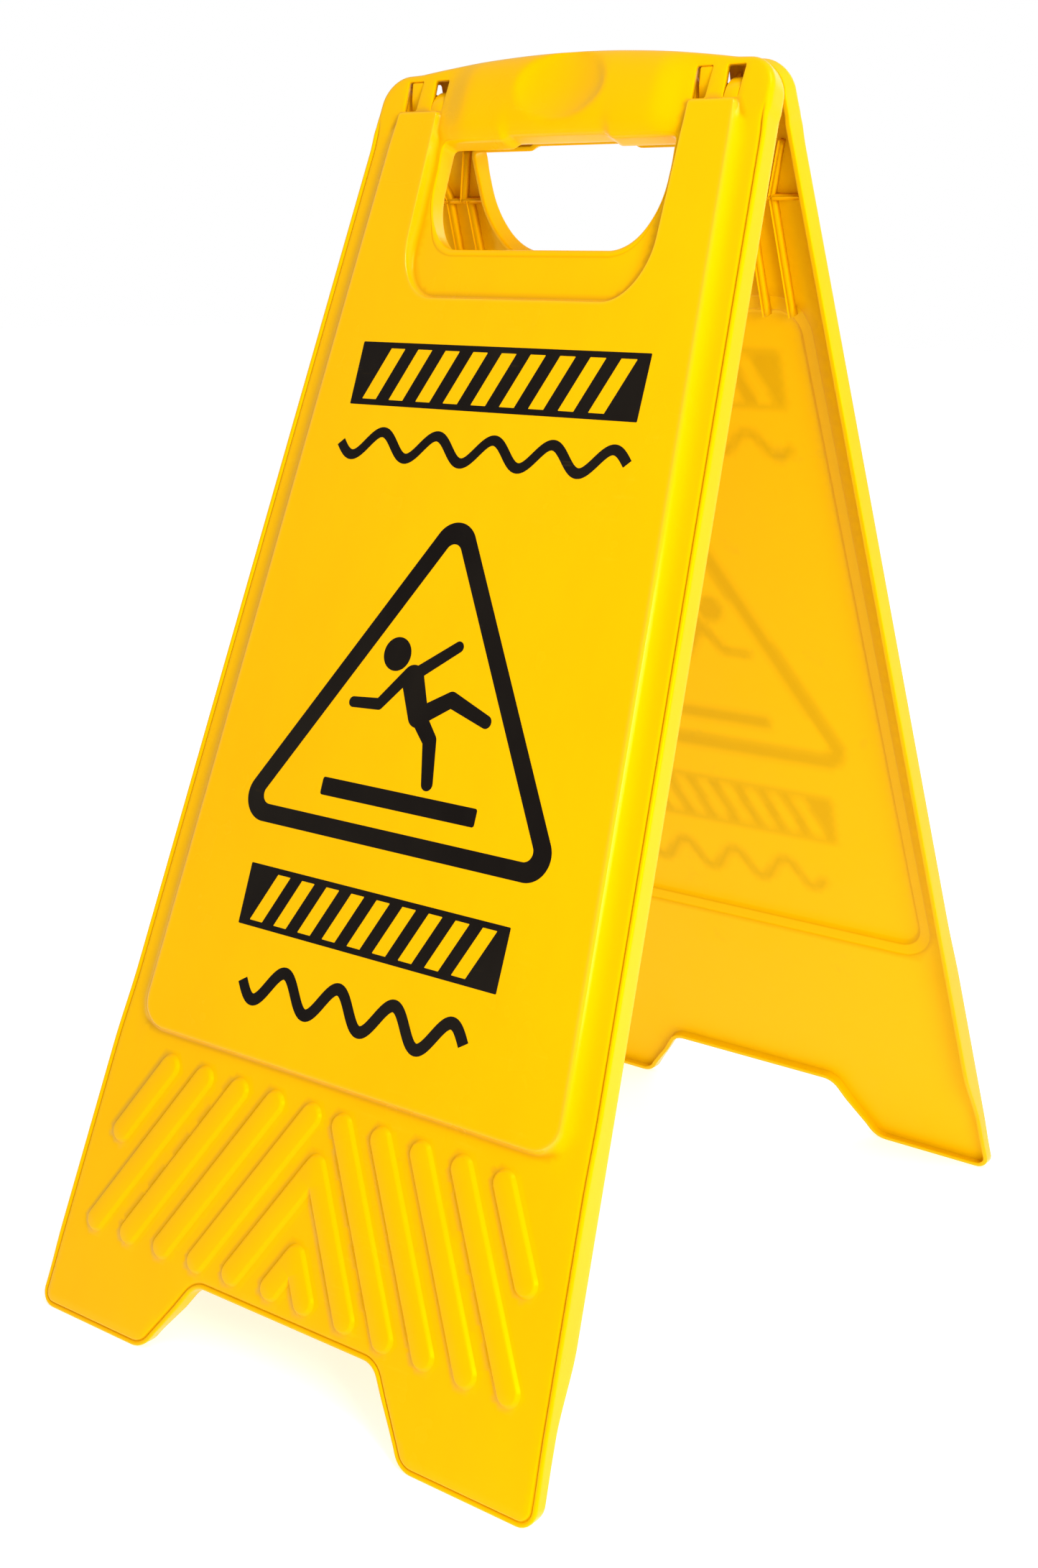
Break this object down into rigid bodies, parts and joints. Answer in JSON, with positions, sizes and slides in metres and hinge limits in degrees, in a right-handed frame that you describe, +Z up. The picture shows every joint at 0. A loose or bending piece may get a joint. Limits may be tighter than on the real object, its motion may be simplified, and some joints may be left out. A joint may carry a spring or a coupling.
{
  "type": "wet floor sign",
  "caption": "Folding A-frame wet floor warning sign with moulded carrying handle, clip-together hinge and a printed slip warning on each face.",
  "frame": {"origin": "centre of the footprint on the floor, with the sign standing open", "axes": "+Z up, X across the panels and along the hinge axis, front panel's face towards -Y"},
  "size_m": [0.2976, 0.4368, 0.5825],
  "materials": {
    "yellow_polypropylene": "glossy moulded",
    "black_ink": "satin printed film"
  },
  "bodies": {
    "front": {"front_panel": "yellow_polypropylene", "front_warning_triangle": "black_ink", "front_figure_head": "black_ink", "front_slip_figure": "black_ink", "front_floor_bar": "black_ink", "front_upper_hazard_band": "black_ink", "front_upper_wave": "black_ink", "front_lower_hazard_band": "black_ink", "front_lower_wave": "black_ink"},
    "rear": {"rear_panel": "yellow_polypropylene", "rear_warning_triangle": "black_ink", "rear_figure_head": "black_ink", "rear_slip_figure": "black_ink", "rear_floor_bar": "black_ink", "rear_upper_hazard_band": "black_ink", "rear_upper_wave": "black_ink", "rear_lower_hazard_band": "black_ink", "rear_lower_wave": "black_ink"}
  },
  "joints": [
    {"name": "top_hinge", "type": "hinge", "parent": "front", "child": "rear", "pos_m": [0, 0, 0.5593], "axis": [1, 0, 0], "range_deg": [-40.5, 0]}
  ]
}
